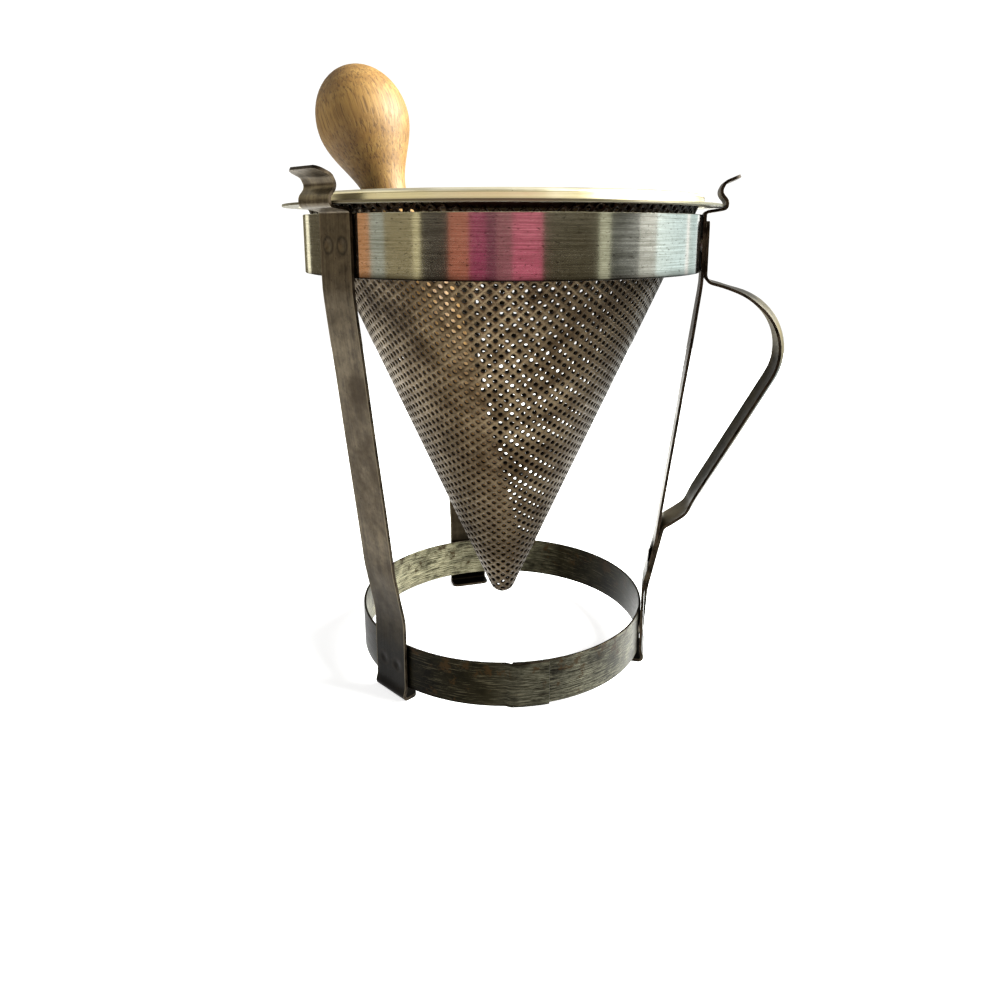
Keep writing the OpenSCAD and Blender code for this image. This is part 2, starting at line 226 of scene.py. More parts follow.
def card(name, start, end, profile, tint, strength):
    """A strip of paper round the object, seen only in reflections; its profile gives radius and height."""
    steps = max(2, round((end - start) / 3))
    bm = bmesh.new()
    verts = [bm.verts.new(polar(away, CAMERA_BEARING + start, height)) for away, height in profile]
    edges = [bm.edges.new(pair) for pair in zip(verts, verts[1:])]
    bmesh.ops.spin(bm, geom=verts + edges, axis=(0, 0, 1), angle=math.radians(end - start), steps=steps)
    thing = plain_mesh(bm, name)
    thing.visible_camera = False
    thing.visible_diffuse = False
    thing.visible_shadow = False
    glow = bpy.data.materials.new(name)
    glow.use_nodes = True
    shader = glow.node_tree.nodes["Principled BSDF"]
    shader.inputs["Base Color"].default_value = (0, 0, 0, 1)
    shader.inputs["Roughness"].default_value = 1
    shader.inputs["Emission Color"].default_value = tint
    shader.inputs["Emission Strength"].default_value = strength
    thing.data.materials.append(glow)


for number, (start, end, tint) in enumerate(CARDS):
    profile = [(CARD_AWAY, CARD_LOW), (CARD_AWAY, CARD_HIGH)]
    if start >= ON_FLOOR_FROM:
        profile.insert(0, (CARD_INNER, CARD_LOW))
    card(f"card_{number}", start, end, profile, tint, CARD_GLOW)
card("cream_card", -130, 130, [(CARD_AWAY, CARD_HIGH + 0.02), (CARD_AWAY, CREAM_HIGH)], colour(255, 248, 218), 1.15)
print("cards:", len(CARDS) + 1)

# %% [markdown]
# ## Strap that is cut flat and then bent
# The legs, the rings and the handle are all strap: a long flat ribbon with sheared edges, bent to shape. So the
# mesh is made in the same order. A flat grid is drawn first, one row of vertices for each mark along the strap,
# and each row is then carried to its place on the bent line. Marks lie close together where the bend is tight.
# %% Bent lines
MM = 0.001
BEND_STEP = 6


def bend_arc(before, corner, after, radius):
    """Points of the arc that rounds a corner of a flat line."""
    back = (before - corner).normalized()
    on = (after - corner).normalized()
    half = back.angle(on) / 2
    centre = corner + (back + on).normalized() * radius / math.sin(half)
    first = corner + back * radius / math.tan(half) - centre
    turn = math.pi - 2 * half
    if back.cross(on) > 0:
        turn = -turn
    steps = max(2, math.ceil(abs(turn) / math.radians(BEND_STEP)))
    return [centre + Matrix.Rotation(turn * i / steps, 2) @ first for i in range(steps + 1)]


class BentLine:
    """A flat line with rounded corners, each given as radius from the axis, height and bend radius."""

    def __init__(self, corners):
        flat = [Vector(corner[:2]) for corner in corners]
        self.points = [flat[0]]
        for i in range(1, len(flat) - 1):
            self.points += bend_arc(flat[i - 1], flat[i], flat[i + 1], corners[i][2])
        self.points.append(flat[-1])
        self.run = [0.0]
        for a, b in zip(self.points, self.points[1:]):
            self.run.append(self.run[-1] + (b - a).length)
        self.length = self.run[-1]

    def at(self, s):
        s = min(max(s, 0.0), self.length)
        k = min(bisect_right(self.run, s), len(self.run) - 1) - 1
        part = (s - self.run[k]) / (self.run[k + 1] - self.run[k])
        return self.points[k].lerp(self.points[k + 1], part)

    def left(self, s):
        """The direction square to the line, on its left."""
        ahead = self.at(s + 0.25) - self.at(s - 0.25)
        return Vector((-ahead.y, ahead.x)).normalized()

    def near(self, height, start=0.0):
        """The first length after start at which the line passes a height."""
        steps = int(self.length * 4)
        return min(
            (self.length * i / steps for i in range(steps + 1) if self.length * i / steps >= start),
            key=lambda s: abs(self.at(s).y - height),
        )


def ease(x):
    x = min(max(x, 0.0), 1.0)
    return (1 - math.cos(math.pi * x)) / 2


def marks_along(length, step, bends=(), corner=0.0, close=()):
    """Lengths at which a strap gets a row of vertices, closer at its bends, its round corners and its welds."""
    marks = [length * i / math.ceil(length / step) for i in range(math.ceil(length / step) + 1)]
    marks += bends
    for t in range(7):
        turned = corner * (1 - math.cos(math.radians(15 * t)))
        marks += [turned, length - turned]
    for start, end in close:
        marks += [start + (end - start) * i / 12 for i in range(13)]
    kept = [0.0]
    for mark in sorted(marks):
        if mark - kept[-1] > 0.09 and length - mark > 0.09:
            kept.append(mark)
    return kept + [length]


# %% From flat strap to piece
EDGE_ROUND = 0.28


def new_piece(bm, name, body, nodes, material, thickness=0.0, edge_round=EDGE_ROUND, sheared=None, inside=None):
    """The mesh goes from millimetres to metres, and the piece takes its body and finish; the frame nodes it replaces
    are hidden.
    """
    bmesh.ops.scale(bm, vec=(MM, MM, MM), verts=bm.verts)
    piece = plain_mesh(bm, name)
    piece.data.shade_smooth()
    piece.data.materials.append(material)
    if thickness:
        wall = piece.modifiers.new("wall", "SOLIDIFY")
        wall.thickness = thickness * MM
        wall.offset = 0
        wall.use_even_offset = True
        for other in (inside, sheared):
            if other:
                piece.data.materials.append(other)
                wall.material_offset_rim = len(piece.data.materials) - 1
        if inside:
            wall.material_offset = 1
    if edge_round:
        rounding = piece.modifiers.new("edges", "BEVEL")
        rounding.width = edge_round * MM
        rounding.segments = 2
        rounding.limit_method = "ANGLE"
        rounding.angle_limit = math.radians(50)
        rounding.harden_normals = True
    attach(piece, body)
    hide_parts(*nodes)
    print(f"{name}: {len(piece.data.vertices)} vertices, {len(piece.data.polygons)} faces")
    return piece


def bent_strap(marks, width, columns, corner, place):
    """A flat grid whose ends have round corners, carried to its place; its UV map keeps the flat strap."""
    bm = bmesh.new()
    rows = len(marks) - 1
    bmesh.ops.create_grid(bm, x_segments=rows, y_segments=columns, size=1)
    flat = {}
    for vert in bm.verts:
        s = marks[round((vert.co.x + 1) / 2 * rows)]
        to_end = min(s, marks[-1] - s)
        cut = corner - math.sqrt(max(0.0, corner**2 - max(0.0, corner - to_end) ** 2))
        across = vert.co.y * (width / 2 - cut)
        flat[vert] = (s, across)
    layer = bm.loops.layers.uv.new("strap")
    for face in bm.faces:
        for loop in face.loops:
            loop[layer].uv = Vector(flat[loop.vert]) * MM
    for vert, (s, across) in flat.items():
        vert.co = place(s, across)
    return bm


# %% [markdown]
# ## Tinned steel
# The strap was dipped in tin long ago. It is dull grey, brown where the tin has worn through, streaked along its
# length by the rollers, and bright only along its rubbed edges. Towards the floor it is painted darker, a painted
# shade. The streaks follow the strap's own UV map, so they bend with it, while stains use Object coordinates and
# run across the pieces.
# %% Strap finish
WELD_PITCH = 9.0
WELD_RADIUS = 3.0
WELD_DEPTH = 0.3


def weld_ring(add, strap, weld_s):
    """A pair of thin dark circles, where the edge of a spot welder's tips has marked the strap at this length."""
    along = add("SeparateXYZ", {0: strap})
    across = calc(add, "ABSOLUTE", add("SeparateXYZ", {0: strap}, out=1))
    away = add("CombineXYZ", {
        0: add("Math", {0: along, 1: weld_s * MM}, operation="SUBTRACT"),
        1: add("Math", {0: across, 1: WELD_PITCH / 2 * MM}, operation="SUBTRACT"),
    })
    distance = add("VectorMath", {0: away}, out=1, operation="LENGTH")
    off_edge = calc(add, "ABSOLUTE", add("Math", {0: distance, 1: WELD_RADIUS * MM}, operation="SUBTRACT"))
    return ranged(add, off_edge, 0.0009, 0.0001)


def steel_finish(name, dark, light, worn, width, stain, streak=1.0, low_painted_shade=0.0, rough=(0.34, 0.62), welds=(), brassy=None):
    """Streaked old steel. Width is the strap's, for the wear along its edges. Welds are places along the strap."""
    material, add, plug = new_material(name, metallic=1.0)
    strap = add("UVMap", uv_map="strap")
    solid = add("TexCoord", out=3)
    lines = grain(add, stretched(add, strap, (18, 900 * streak, 1)), 1.0, 6, 0.6)
    long_lines = grain(add, stretched(add, strap, (7, 260 * streak, 1)), 1.0, 3, 0.5)
    blotch = grain(add, solid, 55, 6, 0.62)
    cloud = grain(add, solid, 17, 3, 0.5)
    pits = grain(add, solid, 620, 3, 0.7)
    mottle = grain(add, solid, 260, 5, 0.65)
    tone = calc(add, "ADD", calc(add, "MULTIPLY", lines, 0.3), calc(add, "MULTIPLY", long_lines, 0.25))
    tone = ranged(add, calc(add, "ADD", tone, calc(add, "MULTIPLY", mottle, 0.45)), 0.38, 0.62)
    base = blend(add, tone, dark, light)
    patch = ranged(add, calc(add, "ADD", calc(add, "MULTIPLY", blotch, 0.6), calc(add, "MULTIPLY", cloud, 0.4)),
                   0.47, 0.63)
    base = blend(add, calc(add, "MULTIPLY", patch, 0.75), base, stain)
    height = add("SeparateXYZ", {0: solid}, out=2)
    # Painted shade: towards the floor the strap is painted darker, down to near black at its foot.
    if low_painted_shade:
        low = calc(add, "ADD", height, calc(add, "MULTIPLY", blotch, 0.02))
        base = blend(add, calc(add, "MULTIPLY", ranged(add, low, 0.085, 0.030), low_painted_shade), base, colour(10, 8, 5))
    if brassy:
        off_nose = calc(add, "ABSOLUTE", add("Math", {0: height, 1: brassy}, operation="SUBTRACT"))
        bare = calc(add, "MULTIPLY", ranged(add, off_nose, 0.013, 0.004), ranged(add, blotch, 0.2, 0.5, 0.3, 0.7))
        base = blend(add, bare, base, colour(146, 129, 86))
    across = calc(add, "ABSOLUTE", add("SeparateXYZ", {0: strap}, out=1))
    half = width / 2 * MM
    wear = ranged(add, calc(add, "ADD", across, calc(add, "MULTIPLY", blotch, 0.0006)), half - 0.0003, half + 0.0002)
    base = blend(add, calc(add, "MULTIPLY", wear, 0.5), base, worn)
    dots = ranged(add, pits, 0.63, 0.71)
    base = blend(add, calc(add, "MULTIPLY", dots, 0.75), base, colour(34, 26, 18))
    flaked = ranged(add, grain(add, solid, 330, 5, 0.75), 0.60, 0.68)
    base = blend(add, calc(add, "MULTIPLY", flaked, 0.5), base, colour(46, 37, 27))
    for weld_s in welds:
        mark = weld_ring(add, strap, weld_s)
        base = blend(add, calc(add, "MULTIPLY", mark, 0.6), base, colour(34, 29, 24))
    plug("Base Color", base)
    plug("Roughness", ranged(add, calc(add, "ADD", calc(add, "MULTIPLY", patch, 0.6),
                                       calc(add, "MULTIPLY", lines, 0.4)), 0.0, 1.0, *rough))
    height_map = calc(add, "SUBTRACT", calc(add, "MULTIPLY", lines, 0.7), calc(add, "MULTIPLY", dots, 0.5))
    bumped(add, plug, height_map, 0.35, 0.00012)
    return material


STRAP_WIDTH = 19.5
STRAP_THICKNESS = 1.2

# %% [markdown]
# The strap's narrow edges were sheared, never tinned evenly, and have gone nearly black. They are the faces that
# Solidify adds round the rim of the sheet, so they can have a material of their own.
# %% Sheared edge finish
edge_finish, add, plug = new_material("sheared_edge", metallic=1.0, roughness=0.6)
edge_cloud = grain(add, add("TexCoord", out=3), 240, 5, 0.65)
plug("Base Color", blend(add, ranged(add, edge_cloud, 0.38, 0.62), colour(26, 22, 18), colour(58, 51, 42)))
bumped(add, plug, edge_cloud, 0.3, 0.0001)

# %% [markdown]
# ## Three legs
# Each leg is one strap. Its foot is folded in on the floor, it stands straight beside the base ring, kinks
# outward, leans out to the cup band, and ends in a spring clip: a shelf, a pocket, a waist and a flare. A
# spot welder has left two round dimples beside each ring, and the free span isn't quite flat any more.
# %% Leg line
RING_RADIUS = 65.0
RING_HEIGHT = 19.0
RING_LIFT = 5.3
RING_THICKNESS = 1.0
BAND_RADIUS = 83.8
BAND_HEIGHT = 23.0
BAND_TOP = 198.5
BAND_THICKNESS = 1.0
RIM_RADIUS = 91.8
WELD_GAP = 0.15
RUN_GAP = 0.3
TIGHT_BEND = STRAP_THICKNESS * 1.3
SHELF_TILT = math.tan(math.radians(9))

low_r = RING_RADIUS + WELD_GAP + STRAP_THICKNESS / 2
high_r = BAND_RADIUS + WELD_GAP + STRAP_THICKNESS / 2
pocket_r = RIM_RADIUS + RUN_GAP + STRAP_THICKNESS / 2
shelf_z = BAND_TOP + 0.4 + STRAP_THICKNESS / 2
pocket_z = shelf_z + (pocket_r - high_r) * SHELF_TILT
waist = Vector((RIM_RADIUS - 2.5 + STRAP_THICKNESS / 2, pocket_z + 2.9 + 3.6))
flare_bend = waist + Vector((7.6 * 0.24, 6.2 * 0.6))
flare_end = waist + Vector((7.6, 6.2))
hip = Vector((low_r, RING_LIFT + RING_HEIGHT + 11))
knee = Vector((low_r + 4.6, RING_LIFT + RING_HEIGHT + 32.7))
leg_line = BentLine([
    (low_r + 1.5 - 8, STRAP_THICKNESS / 2),
    (low_r + 1.5, STRAP_THICKNESS / 2, TIGHT_BEND),
    (low_r, RING_LIFT, 8),
    (hip.x, hip.y, 30),
    (knee.x, knee.y, 50),
    (high_r, BAND_TOP - 27.5, 60),
    (high_r, shelf_z, TIGHT_BEND),
    (pocket_r, pocket_z, TIGHT_BEND),
    (pocket_r + 0.2, pocket_z + 2.9, 3),
    (waist.x, waist.y, 3),
    (flare_bend.x, flare_bend.y, 3),
    (flare_end.x, flare_end.y),
])
RING_MID = RING_LIFT + RING_HEIGHT / 2
BAND_MID = BAND_TOP - BAND_HEIGHT / 2
print(f"a leg is cut {leg_line.length:.0f} mm long")

# %% Legs
leg_finish = steel_finish("leg_steel", colour(62, 53, 41), colour(110, 99, 80), colour(132, 122, 102), STRAP_WIDTH,
                          colour(56, 46, 33), low_painted_shade=0.97,
                          welds=[leg_line.near(RING_MID, 12), leg_line.near(BAND_MID, 12)])
STRAP_CORNER = 3.0
STRAP_COLUMNS = 26


def dimple(s, across, welds):
    """How deep a spot weld has pressed the strap at this place."""
    depth = 0.0
    for weld_s in welds:
        for side in (-1, 1):
            away = math.hypot(s - weld_s, across - side * WELD_PITCH / 2)
            depth += WELD_DEPTH * (1 - ease(away / WELD_RADIUS))
    return depth


def leg(name, bearing, weld_heights, seed):
    welds = [leg_line.near(height, 12) for height in weld_heights]
    turn = Matrix.Rotation(math.radians(bearing), 3, "Z")
    span_from = leg_line.near(RING_LIFT + RING_HEIGHT + 6, 12)
    span_to = leg_line.near(BAND_TOP - BAND_HEIGHT - 6, 12)

    def place(s, across):
        free = ease((s - span_from) / 20) * ease((span_to - s) / 20)
        wave = 0.35 * free * noise.noise(Vector((s / 42, across / 28, seed)))
        at = leg_line.at(s) + leg_line.left(s) * (dimple(s, across, welds) + wave)
        return turn @ Vector((at.x, across, at.y))

    marks = marks_along(leg_line.length, 2.4, leg_line.run, STRAP_CORNER, [(w - 4, w + 4) for w in welds])
    bm = bent_strap(marks, STRAP_WIDTH, STRAP_COLUMNS, STRAP_CORNER, place)
    return new_piece(bm, name + "_strap", "stand", [name], leg_finish, STRAP_THICKNESS,
                     sheared=edge_finish)


leg("leg_handle", 0, [RING_MID], 1.0)
leg("leg_back", 118, [RING_MID, BAND_MID], 2.0)
leg("leg_front", 236, [RING_MID, BAND_MID], 3.0)

# %% [markdown]
# ## Handle
# The handle is the same strap, dished along its length so that its edges curl toward the leg. That stiffens it
# and keeps the edges off the fingers. Both ends are left flat and are spot welded to the handle leg's outer face.
# %% Handle line
TAB_GAP = STRAP_THICKNESS + WELD_GAP
HANDLE_DISH = 2.1
tab_side = Vector((knee.y - hip.y, hip.x - knee.x)).normalized()
tab_high = knee + tab_side * TAB_GAP
tab_low = hip + (Vector((1, 0)) + tab_side) * TAB_GAP / (1 + tab_side.x)


def crossing(p, u, q, v):
    """Where the line through p along u meets the line through q along v."""
    side = Vector((-v.y, v.x))
    return p + u * ((q - p).dot(side) / u.dot(side))


def heading(degrees):
    return Vector((math.cos(math.radians(degrees)), math.sin(math.radians(degrees))))


grip_top = Vector((high_r + TAB_GAP, BAND_TOP - BAND_HEIGHT - 3.7))
heel = Vector((83.9, 71.5))
grip_corner = crossing(grip_top, heading(-14), heel, heading(270 - 28))
handle_join = crossing(heel, heading(180 + 31.4), tab_high, (tab_low - tab_high).normalized())
handle_line = BentLine([
    (grip_top.x, BAND_TOP - 2.5),
    (grip_top.x, grip_top.y, 4),
    (grip_corner.x, grip_corner.y, 25.7),
    (heel.x, heel.y, 9),
    (handle_join.x, handle_join.y, 4),
    (tab_low.x, tab_low.y, 30),
    (low_r + TAB_GAP, RING_LIFT + RING_HEIGHT + 8.7),
])
print(f"the handle is cut {handle_line.length:.0f} mm long")

# %% Handle
handle_length = handle_line.length
tab_end = (handle_line.at(handle_length) - handle_join).length
handle_welds = [handle_line.near(BAND_MID), handle_line.near(hip.y + 12 * tab_side.x, handle_length - 40)]
handle_finish = steel_finish("handle_steel", colour(44, 42, 37), colour(84, 81, 73), colour(104, 99, 88),
                             STRAP_WIDTH, colour(84, 73, 44), welds=handle_welds, brassy=0.062)


def handle_place(s, across):
    dish = HANDLE_DISH * ease((s - 28) / 22) * ease((handle_length - tab_end * 1.05 - s) / 22)
    bend = dish * (across / STRAP_WIDTH * 2) ** 2
    at = handle_line.at(s) - handle_line.left(s) * (bend + dimple(s, across, handle_welds))
    return Vector((at.x, across, at.y))


handle_marks = marks_along(handle_length, 2.2, handle_line.run, STRAP_CORNER, [(w - 4, w + 4) for w in handle_welds])
handle_bm = bent_strap(handle_marks, STRAP_WIDTH, STRAP_COLUMNS, STRAP_CORNER, handle_place)
new_piece(handle_bm, "handle_strap", "stand", ["handle"], handle_finish, STRAP_THICKNESS,
          sheared=edge_finish)

# %% [markdown]
# ## Two rings
# A ring is a strap rolled on edge. Its last few millimetres are jogged out by one thickness and lapped over the
# start, where two spot welds hold it. The base ring is dark and scratched, and the band above is brushed bright.
# %% Rings
LAP_LENGTH = 15.0


def ring(name, radius, thickness, low, height, seam, columns, material, wave, inside=None):
    middle = radius - thickness / 2
    lap = math.degrees(LAP_LENGTH / radius)
    jog = math.degrees(3.2 * thickness / radius)
    start = seam - lap
    length = math.radians(360 + lap) * middle
    jog_end = math.radians(360) * middle
    lap_middle = length - LAP_LENGTH / 2

    def place(s, across):
        turned = math.degrees(s / middle)
        out = (thickness + WELD_GAP) * ease((turned - 360 + jog) / jog)
        press = 0.0
        for side in (-1, 1):
            away = math.hypot(s - lap_middle, across - side * height / 4)
            press += 0.22 * (1 - ease(away / WELD_RADIUS))
        bow = wave * noise.noise(Vector((math.cos(math.radians(turned)) * 2, math.sin(math.radians(turned)) * 2,
                                         across / 40 + radius)))
        return polar(middle + out - press + bow, start + turned, low + height / 2 + across)

    marks = marks_along(length, 2.0, (), 0.0, [(jog_end - 8, jog_end + 2), (lap_middle - 4, lap_middle + 4)])
    bm = bent_strap(marks, height, columns, 0.0, place)
    return new_piece(bm, name + "_strap", "stand", [name],
                     material, thickness, 0.22, edge_finish, inside)


def ring_steel(name, sheen_from, sheen_to, dull, bright):
    """Dark scratched steel whose scratches get a painted highlight on one side, between two places across the mill,
    in metres.
    """
    material, add, plug = new_material(name, metallic=1.0)
    strap = add("UVMap", uv_map="strap")
    solid = add("TexCoord", out=3)
    scratch = grain(add, stretched(add, strap, (90, 1700, 1)), 1.0, 6, 0.75)
    hair = grain(add, stretched(add, strap, (160, 3600, 1)), 1.0, 4, 0.75)
    cloud = grain(add, solid, 60, 5, 0.65)
    base = blend(add, ranged(add, cloud, 0.38, 0.62), colour(14, 13, 9), colour(26, 24, 17))
    base = blend(add, calc(add, "MULTIPLY", ranged(add, scratch, 0.54, 0.62), 0.7), base, colour(64, 60, 48))
    place = add("SeparateXYZ", {0: solid})
    # Painted highlight: the scratches are lighter on the side where the key lamp's light falls.
    scratch_sheen = calc(add, "MULTIPLY", ranged(add, place, sheen_from, sheen_to), ranged(add, cloud, 0.3, 0.55))
    scratch_sheen = calc(add, "MULTIPLY", scratch_sheen, ranged(add, scratch, 0.40, 0.52))
    base = blend(add, scratch_sheen, base, blend(add, ranged(add, hair, 0.42, 0.58), dull, bright))
    height = add("SeparateXYZ", {0: solid}, out=2)
    rusty = calc(add, "ADD", grain(add, solid, 170, 5, 0.7), ranged(add, height, 0.012, 0.026, 0.0, 0.10))
    base = blend(add, calc(add, "MULTIPLY", ranged(add, rusty, 0.60, 0.68), 0.85), base, colour(40, 31, 20))
    plug("Base Color", base)
    plug("Roughness", ranged(add, scratch, 0.3, 0.7, 0.34, 0.52))
    bumped(add, plug, calc(add, "ADD", calc(add, "MULTIPLY", scratch, 0.6), calc(add, "MULTIPLY", hair, 0.4)), 0.35,
           0.0001)
    return material


# The outside gets its painted highlight at the right and the inside at the left, where each faces the key lamp.
ring_outside = ring_steel("ring_steel", 0.006, 0.068, colour(26, 25, 19), colour(118, 116, 100))
# Painted light: the ring's inner face is the same steel painted much lighter than its outer face, a lit copy.
ring_inside_lit_copy = ring_steel("ring_steel_inside_lit_copy", 0.020, -0.045, colour(84, 80, 64), colour(148, 144, 118))
ring("base_ring", RING_RADIUS, RING_THICKNESS, RING_LIFT, RING_HEIGHT, -62, 16, ring_outside, 0.05, ring_inside_lit_copy)

# %% [markdown]
# The band is brushed: thousands of fine parallel scratches run round it. They spread a reflection up and down
# but hardly sideways, so the room shows in it as upright bars. The shader's anisotropy does this along the UV map.
# %% Brushed band


def brushed_finish(name):
    material, add, plug = new_material(name, metallic=1.0, anisotropic=0.6, anisotropic_rotation=0.25)
    strap = add("UVMap", uv_map="strap")
    solid = add("TexCoord", out=3)
    fine = grain(add, stretched(add, strap, (60, 3000, 1)), 1.0, 4, 0.6)
    coarse = grain(add, stretched(add, strap, (30, 1300, 1)), 1.0, 3, 0.5)
    cloud = grain(add, solid, 48, 5, 0.6)
    tone = calc(add, "ADD", calc(add, "MULTIPLY", fine, 0.7), calc(add, "MULTIPLY", coarse, 0.3))
    base = blend(add, ranged(add, tone, 0.32, 0.66), colour(154, 151, 139), colour(220, 218, 210))
    frost = ranged(add, grain(add, solid, 520, 4, 0.75), 0.5, 0.62)
    base = blend(add, calc(add, "MULTIPLY", frost, 0.15), base, colour(112, 106, 92))
    height = add("SeparateXYZ", {0: solid}, out=2)
    # Darker towards the bottom edge, with a dark line along the edge itself.
    low_edge_darkening = calc(add, "MULTIPLY", ranged(add, height, 0.1785, 0.1758), ranged(add, cloud, 0.25, 0.55))
    base = blend(add, calc(add, "MULTIPLY", low_edge_darkening, 0.85), base, colour(64, 55, 42))
    base = blend(add, ranged(add, height, 0.1763, 0.1758), base, colour(30, 25, 19))
    spots = ranged(add, grain(add, stretched(add, strap, (1, 2.2, 1)), 420, 4, 0.75), 0.585, 0.65)
    base = blend(add, calc(add, "MULTIPLY", spots, 0.75), base, colour(72, 62, 48))
    plug("Base Color", base)
    plug("Roughness", ranged(add, calc(add, "ADD", calc(add, "MULTIPLY", cloud, 0.5),
                                       calc(add, "MULTIPLY", coarse, 0.5)), 0.3, 0.7, 0.11, 0.17))
    plug("Tangent", add("Tangent", direction_type="UV_MAP", uv_map="strap"))
    bumped(add, plug, tone, 0.05, 0.00002)
    return material


band_finish = brushed_finish("band_steel")
ring("cup_band", BAND_RADIUS, BAND_THICKNESS, BAND_TOP - BAND_HEIGHT, BAND_HEIGHT, 84, 18, band_finish, 0.04)

# %% [markdown]
# ## Rim
# The rim is spun from sheet: a flat flange that rests on the clips, an upright wall rolled over into a bead, and
# a lip that is folded down inside the cone. A spin of the profile's centre line gives the sheet, and Solidify its
# thickness.
# %% Rim profile
CONE_HALF = math.radians(23.8)
SHEET = 0.8
CLINCH_GAP = 0.05
RIM_SHEET = 1.0
BEAD_RADIUS = 84.3
BEAD_WIDTH = 3.9
TIP_RADIUS = 6.0

flange_z = pocket_z - (pocket_r - RIM_RADIUS) * SHELF_TILT + STRAP_THICKNESS / 2 / math.cos(math.radians(9)) + 0.2
crest_z = flange_z + 4.9 - RIM_SHEET / 2
bead_bend = (BEAD_WIDTH - RIM_SHEET) / 2 * 0.97
cone_top_z = crest_z - bead_bend
cone_top_r = BEAD_RADIUS - RIM_SHEET - CLINCH_GAP
apex_z = cone_top_z - cone_top_r / math.tan(CONE_HALF)
print(f"flange at {flange_z:.2f}, cone's top at {cone_top_z:.2f}, its apex at {apex_z:.2f} mm")

flange_mid = flange_z + RIM_SHEET / 2
outer = BEAD_RADIUS - RIM_SHEET / 2
inner = BEAD_RADIUS - BEAD_WIDTH + RIM_SHEET / 2
lip = (SHEET + CLINCH_GAP + RIM_SHEET / 2) / math.cos(CONE_HALF)
lip_z = apex_z + (inner + lip) / math.tan(CONE_HALF)
rim_line = BentLine([
    (RIM_RADIUS, flange_mid),
    (outer, flange_mid, RIM_SHEET * 0.8),
    (outer, crest_z, bead_bend),
    (inner, crest_z, bead_bend),
    (inner, lip_z, 2 * RIM_SHEET),
    (inner - 3 * math.sin(CONE_HALF), lip_z - 3 * math.cos(CONE_HALF)),
])


# %% Rim finish and piece
def rim_material():
    material, add, plug = new_material("rim_aluminium", metallic=1.0)
    solid = add("TexCoord", out=3)
    cloud = grain(add, solid, 40, 5, 0.6)
    fine = grain(add, stretched(add, solid, (60, 60, 1400)), 1.0, 4, 0.6)
    specks = ranged(add, grain(add, solid, 520, 3, 0.7), 0.68, 0.74)
    base = blend(add, ranged(add, cloud, 0.38, 0.62), colour(230, 220, 182), colour(242, 235, 208))
    base = blend(add, calc(add, "MULTIPLY", fine, 0.25), base, colour(196, 184, 150))
    base = blend(add, calc(add, "MULTIPLY", specks, 0.8), base, colour(84, 66, 40))
    height = add("SeparateXYZ", {0: solid}, out=2)
    # Painted shade in the crease where the flange turns up into the bead's wall.
    crease_shade = calc(add, "MULTIPLY", ranged(add, height, 0.2036, 0.2026), ranged(add, height, 0.2010, 0.2022))
    base = blend(add, calc(add, "MULTIPLY", crease_shade, 0.6), base, colour(120, 104, 76))
    # Painted shade: a thin dark line round the curve of the bead, just under its crest.
    off_shade_line = calc(add, "ABSOLUTE", add("Math", {0: height, 1: 0.2049}, operation="SUBTRACT"))
    base = blend(add, calc(add, "MULTIPLY", ranged(add, off_shade_line, 0.00028, 0.00008), 0.7), base, colour(110, 96, 64))
    flat_place = add("VectorMath", {0: solid, 1: (1, 1, 0)}, operation="MULTIPLY")
    radius = add("VectorMath", {0: flat_place}, out=1, operation="LENGTH")
    # Painted shade on the bead's inner wall and on the lip folded down inside the cone.
    inside = calc(add, "MULTIPLY", ranged(add, radius, 0.0829, 0.0823), ranged(add, height, 0.2046, 0.2036))
    base = blend(add, inside, base, colour(46, 39, 30))
    # Painted shade: the flange out beyond the bead is painted darker.
    base = blend(add, calc(add, "MULTIPLY", ranged(add, radius, 0.0850, 0.0856), 0.85), base, colour(92, 88, 74))
    plug("Base Color", base)
    plug("Roughness", ranged(add, cloud, 0.3, 0.7, 0.28, 0.44))
    bumped(add, plug, calc(add, "ADD", calc(add, "MULTIPLY", fine, 0.4), calc(add, "MULTIPLY", cloud, 0.6)), 0.2,
           0.0001)
    return material


def spun_sheet(line, steps):
    """A flat line spun all the way round the Z axis."""
    bm = bmesh.new()
    verts = [bm.verts.new((p.x, 0, p.y)) for p in line]
    edges = [bm.edges.new(pair) for pair in zip(verts, verts[1:])]
    bmesh.ops.spin(bm, geom=verts + edges, axis=(0, 0, 1), angle=math.tau, steps=steps, use_merge=True)
    bmesh.ops.recalc_face_normals(bm, faces=bm.faces)
    return bm


rim_points = []
for point in rim_line.points:
    if not rim_points or (point - rim_points[-1]).length > 0.12:
        rim_points.append(point)
rim_finish = rim_material()
new_piece(spun_sheet(rim_points, 180), "rim_sheet", "cone", ["cone_rim"], rim_finish, RIM_SHEET, 0.2)

# %% [markdown]
# ## Perforated cone
# This is the part that takes the most skill on the real object. A flat sheet is punched with round holes on a
# square pattern that stands on its corner, cut to a sector, and rolled until its two straight edges lap. Rolling
# turns the pattern as it goes round, which is why the rows look different at each side. The mesh is made in that
# order too: one diamond with a hole, repeated over the flat sheet, cut along the sector's edges, and rolled.
# %% Flat perforated sheet
HOLE_PITCH = 3.2
HOLE_RADIUS = 0.98
HOLE_SIDES = 12
SHEET_BEARING = -77.0
SEAM_LAP = 5.0
slope = math.sin(CONE_HALF)
slant_top = cone_top_r / slope
diamond = HOLE_PITCH / math.sqrt(2)


